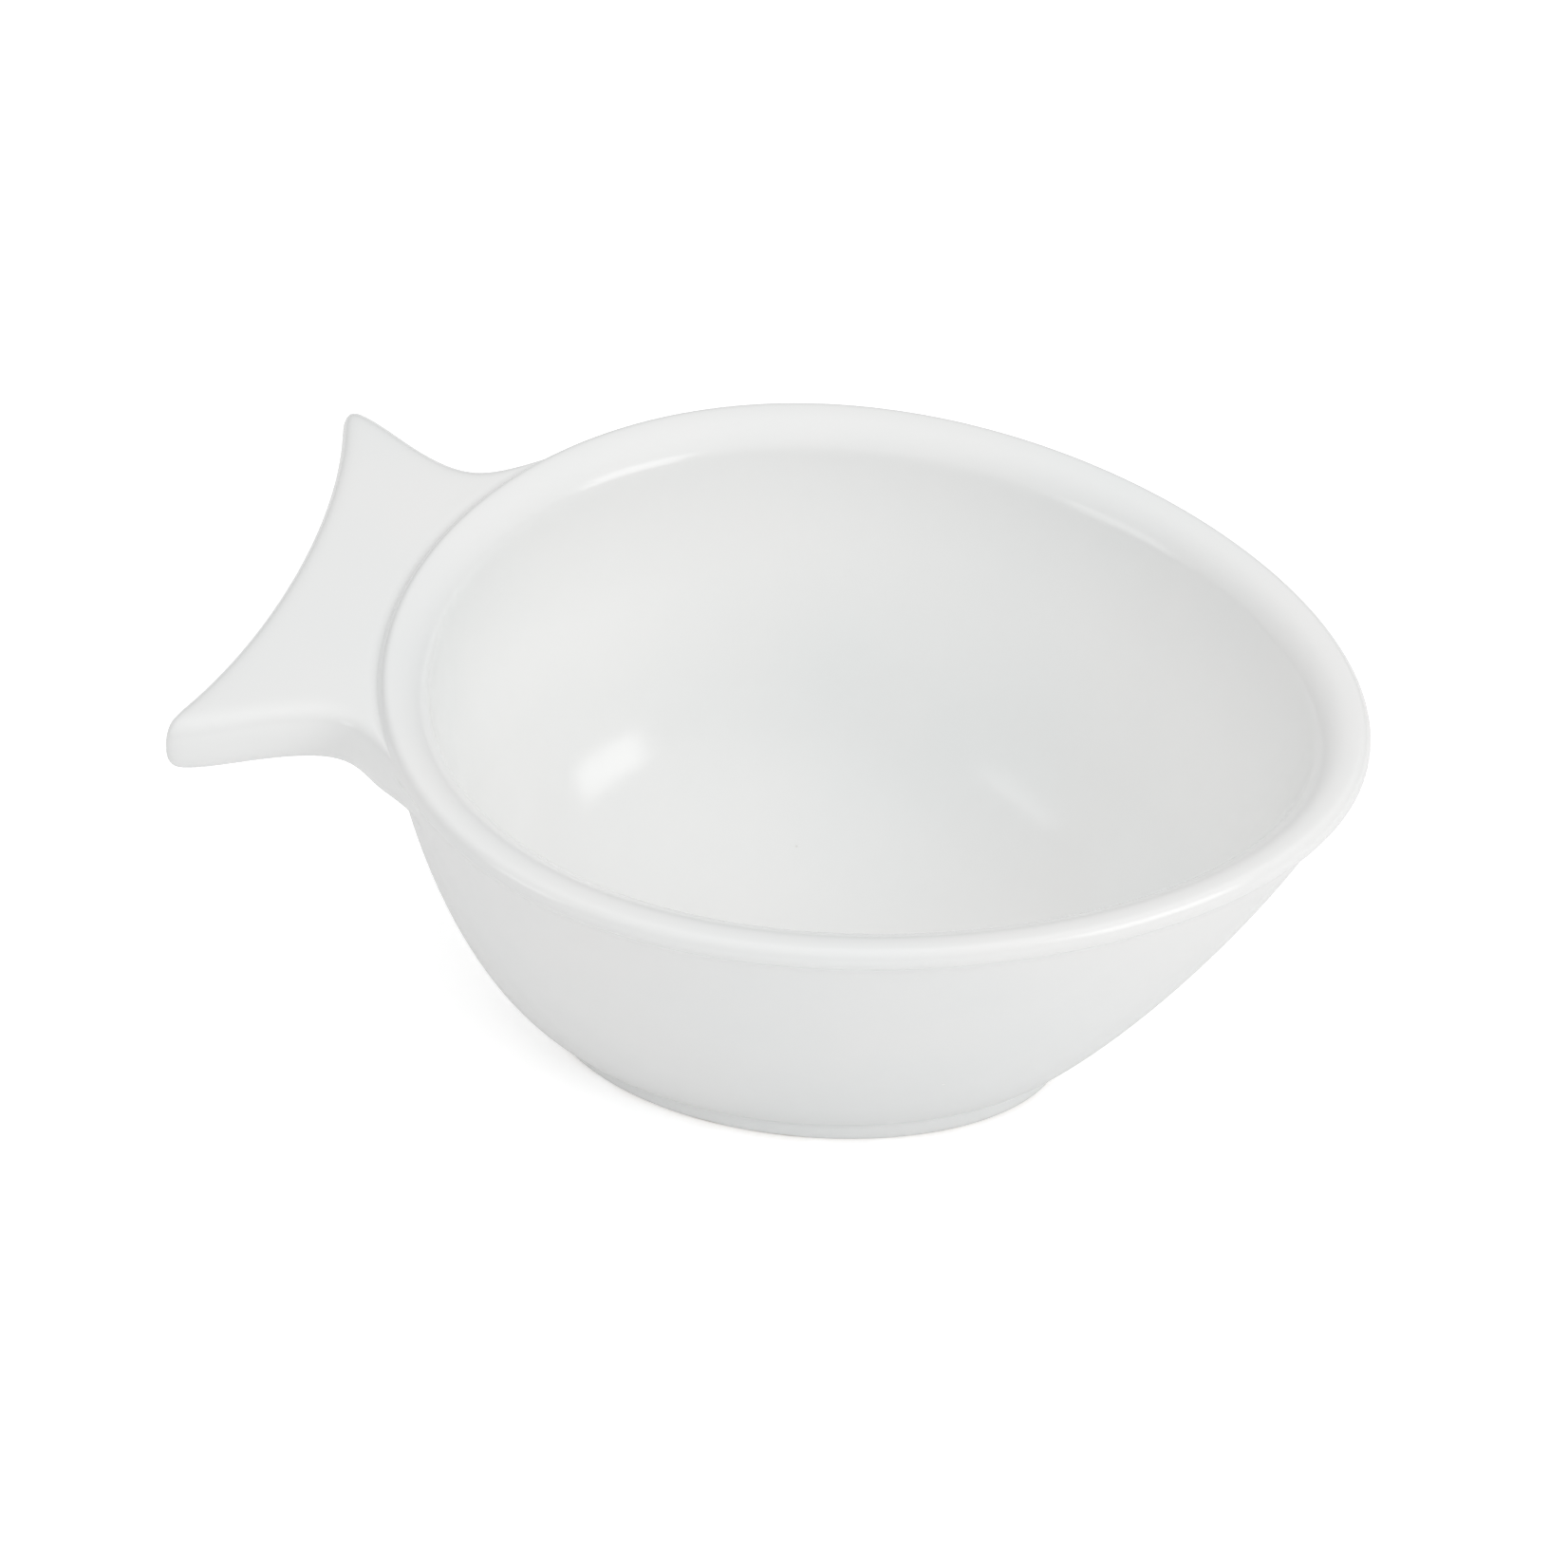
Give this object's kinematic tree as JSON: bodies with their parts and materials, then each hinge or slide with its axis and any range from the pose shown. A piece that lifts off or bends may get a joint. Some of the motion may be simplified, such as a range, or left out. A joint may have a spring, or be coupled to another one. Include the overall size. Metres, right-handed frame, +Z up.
{
  "type": "evaporating dish",
  "caption": "Glazed porcelain evaporating dish shaped like a fish: an egg-shaped bowl with a flat fan tail to hold it by and a low oval foot ring.",
  "frame": {"origin": "centre of the bounding box's underside, which is the centre of the oval foot on the surface the dish stands on", "axes": "+X along the length, from the tail toward the nose; +Y across the dish; +Z up"},
  "size_m": [0.1149, 0.0852, 0.048],
  "materials": {
    "bowl_glaze": "gloss",
    "tail_glaze": "gloss",
    "foot_bisque": "matte"
  },
  "bodies": {
    "root": {"bowl": "bowl_glaze", "tail_handle": "tail_glaze", "foot_ring": "foot_bisque"}
  },
  "joints": []
}
